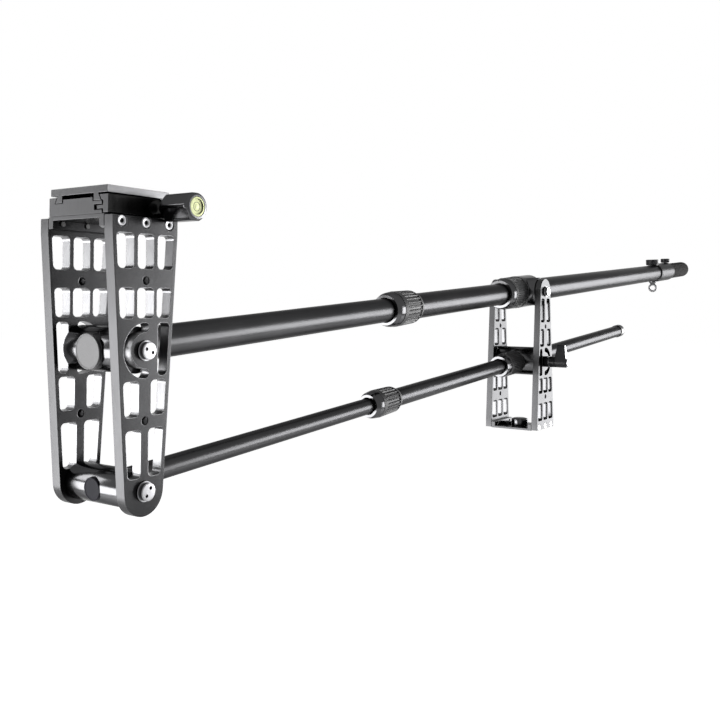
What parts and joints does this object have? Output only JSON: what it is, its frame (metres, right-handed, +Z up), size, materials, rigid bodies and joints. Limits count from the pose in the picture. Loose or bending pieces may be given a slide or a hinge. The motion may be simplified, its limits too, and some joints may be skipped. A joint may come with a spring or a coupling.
{
  "type": "camera jib crane",
  "caption": "Camera jib with a telescopic twist-lock boom and rod on a parallelogram of slotted brackets, a quick-release camera clamp and a tail eye for a counterweight",
  "frame": {"origin": "middle of the tripod face, under the rear bracket's base channel", "axes": "+X from the camera end to the counterweight end, +Y across to the far side, +Z up"},
  "size_m": [1.8652, 0.1275, 0.2976],
  "materials": {
    "black_anodised": "black satin anodised aluminium plate",
    "gloss_black": "gloss black anodised aluminium tube",
    "bright_steel": "bright nickel plated steel",
    "black_rubber": "black ribbed rubber",
    "grip_foam": "dark grey cellular rubber",
    "black_plastic": "black satin plastic",
    "grey_plastic": "grey satin plastic",
    "level_vial": "clear yellow green bubble level"
  },
  "bodies": {
    "tripod_bracket": {"rear_plate_near": "black_anodised", "rear_plate_far": "black_anodised", "base_channel": "black_anodised", "rear_screw_far_1": "bright_steel", "rear_screw_far_2": "bright_steel", "rear_screw_far_3": "bright_steel", "rear_screw_near_1": "bright_steel", "rear_screw_near_2": "bright_steel", "rear_screw_near_3": "bright_steel", "tripod_boss": "black_anodised", "rear_upper_pin_near": "bright_steel", "rear_upper_pin_far": "bright_steel", "rear_lower_pin_far": "bright_steel", "tilt_lock_stud": "bright_steel"},
    "tilt_lock": {"tilt_lock_lever": "black_plastic"},
    "boom_rear": {"boom_rear_tee": "gloss_black", "boom_tube_rear": "gloss_black", "end_sleeve": "gloss_black"},
    "boom_rear_lock": {"boom_lock_rear": "black_rubber"},
    "hanging_eye": {"hanging_eye_bolt": "bright_steel"},
    "hanging_nut": {"hanging_eye_nut": "black_plastic"},
    "tail_screw": {"thumb_screw": "black_plastic"},
    "handle": {"handle_tube": "gloss_black", "end_grip": "grip_foam"},
    "boom_middle": {"boom_tube_middle": "gloss_black", "boom_middle_glide": "black_plastic"},
    "boom_front_lock": {"boom_lock_front": "black_rubber"},
    "boom_front": {"boom_tube_front": "gloss_black", "boom_end_plug": "grey_plastic", "boom_front_tee": "gloss_black", "boom_front_glide": "black_plastic"},
    "rod_pivot": {"rod_rear_tee": "gloss_black"},
    "rod_rear_lock": {"rod_lock_rear": "black_rubber"},
    "rod_rear": {"rod_tube_rear": "gloss_black", "rod_end_cap": "black_plastic"},
    "rod_front_lock": {"rod_lock_front": "black_rubber"},
    "rod_front": {"rod_tube_front": "gloss_black", "rod_end_plug": "grey_plastic", "rod_front_tee": "gloss_black", "rod_front_glide": "black_plastic"},
    "camera_bracket": {"front_plate_near": "black_anodised", "front_plate_far": "black_anodised", "head_channel": "black_anodised", "front_screw_far_1": "bright_steel", "front_screw_far_2": "bright_steel", "front_screw_far_3": "bright_steel", "front_screw_near_1": "bright_steel", "front_screw_near_2": "bright_steel", "front_screw_near_3": "bright_steel", "front_upper_pin_near": "bright_steel", "front_upper_pin_far": "bright_steel", "front_lower_pin_near": "bright_steel", "front_lower_pin_far": "bright_steel", "clamp_base": "black_anodised", "clamp_screw": "bright_steel"},
    "jaw": {"clamp_jaw": "black_anodised"},
    "knob": {"clamp_knob": "black_plastic", "bubble_level": "level_vial"},
    "quick_release_plate": {"camera_plate": "black_anodised"},
    "plate_screw": {"camera_screw": "bright_steel"}
  },
  "joints": [
    {"name": "arm_tilt", "type": "hinge", "parent": "tripod_bracket", "child": "boom_rear", "pos_m": [0, 0, 0.2117], "axis": [0, 1, 0], "range_deg": [-41, 58.8]},
    {"name": "rod_tilt", "type": "hinge", "parent": "tripod_bracket", "child": "rod_pivot", "pos_m": [0, 0, 0.1037], "axis": [0, 1, 0], "range_deg": [-41.1, 58.9]},
    {"name": "camera_level", "type": "hinge", "parent": "boom_front", "child": "camera_bracket", "pos_m": [-0.81257, 0, 0.15716], "axis": [0, 1, 0], "range_deg": [-58.9, 41.1]},
    {"name": "boom_rear_slide", "type": "slide", "parent": "boom_rear", "child": "boom_middle", "axis": [0.9978, 0, 0.067], "range_m": [0, 0.24]},
    {"name": "boom_front_slide", "type": "slide", "parent": "boom_middle", "child": "boom_front", "axis": [0.9978, 0, 0.067], "range_m": [0, 0.335]},
    {"name": "rod_rear_slide", "type": "slide", "parent": "rod_pivot", "child": "rod_rear", "axis": [0.9978, 0, 0.067], "range_m": [0, 0.2401]},
    {"name": "rod_front_slide", "type": "slide", "parent": "rod_rear", "child": "rod_front", "axis": [0.9978, 0, 0.067], "range_m": [0, 0.3351]},
    {"name": "boom_rear_lock_turn", "type": "hinge", "parent": "boom_rear", "child": "boom_rear_lock", "pos_m": [0, 0, 0.2117], "axis": [0.9978, 0, 0.067], "range_deg": [0, 90]},
    {"name": "boom_front_lock_turn", "type": "hinge", "parent": "boom_middle", "child": "boom_front_lock", "pos_m": [0, 0, 0.2117], "axis": [0.9978, 0, 0.067], "range_deg": [0, 90]},
    {"name": "rod_rear_lock_turn", "type": "hinge", "parent": "rod_pivot", "child": "rod_rear_lock", "pos_m": [0, 0, 0.1037], "axis": [0.9978, 0, 0.067], "range_deg": [0, 90]},
    {"name": "rod_front_lock_turn", "type": "hinge", "parent": "rod_rear", "child": "rod_front_lock", "pos_m": [0, 0, 0.1037], "axis": [0.9978, 0, 0.067], "range_deg": [0, 90]},
    {"name": "tilt_lock_turn", "type": "hinge", "parent": "tripod_bracket", "child": "tilt_lock", "pos_m": [0, 0, 0.1037], "axis": [0, -1, 0], "range_deg": [0, 120]},
    {"name": "hanging_eye_turn", "type": "hinge", "parent": "boom_rear", "child": "hanging_eye", "pos_m": [0.74991, 0, 0.26204], "axis": [-0.067, 0, 0.9978], "continuous": true},
    {"name": "hanging_nut_turn", "type": "hinge", "parent": "boom_rear", "child": "hanging_nut", "pos_m": [0.74991, 0, 0.26204], "axis": [-0.067, 0, 0.9978], "continuous": true},
    {"name": "tail_screw_turn", "type": "hinge", "parent": "boom_rear", "child": "tail_screw", "pos_m": [0.86066, 0, 0.26947], "axis": [-0.067, 0, 0.9978], "continuous": true},
    {"name": "handle_slide", "type": "slide", "parent": "boom_rear", "child": "handle", "axis": [0.9978, 0, 0.067], "range_m": [0, 0.04]},
    {"name": "jaw_slide", "type": "slide", "parent": "camera_bracket", "child": "jaw", "axis": [0, -1, 0], "range_m": [0, 0.004]},
    {"name": "knob_turn", "type": "hinge", "parent": "jaw", "child": "knob", "pos_m": [-0.78987, 0, 0.26856], "axis": [0, -1, 0], "range_deg": [0, 1800]},
    {"name": "camera_plate_slide", "type": "slide", "parent": "camera_bracket", "child": "quick_release_plate", "axis": [1, 0, 0], "range_m": [-0.02, 0.02]},
    {"name": "camera_screw_turn", "type": "hinge", "parent": "quick_release_plate", "child": "plate_screw", "pos_m": [-0.81257, 0, 0.2775], "axis": [0, 0, 1], "continuous": true}
  ],
  "couplings": [
    {"joint": "rod_tilt", "follows": "arm_tilt", "ratio": 1},
    {"joint": "camera_level", "follows": "arm_tilt", "ratio": -1},
    {"joint": "rod_rear_slide", "follows": "boom_rear_slide", "ratio": 1},
    {"joint": "rod_front_slide", "follows": "boom_front_slide", "ratio": 1},
    {"joint": "knob_turn", "follows": "jaw_slide", "rad_per_m": 7854}
  ]
}
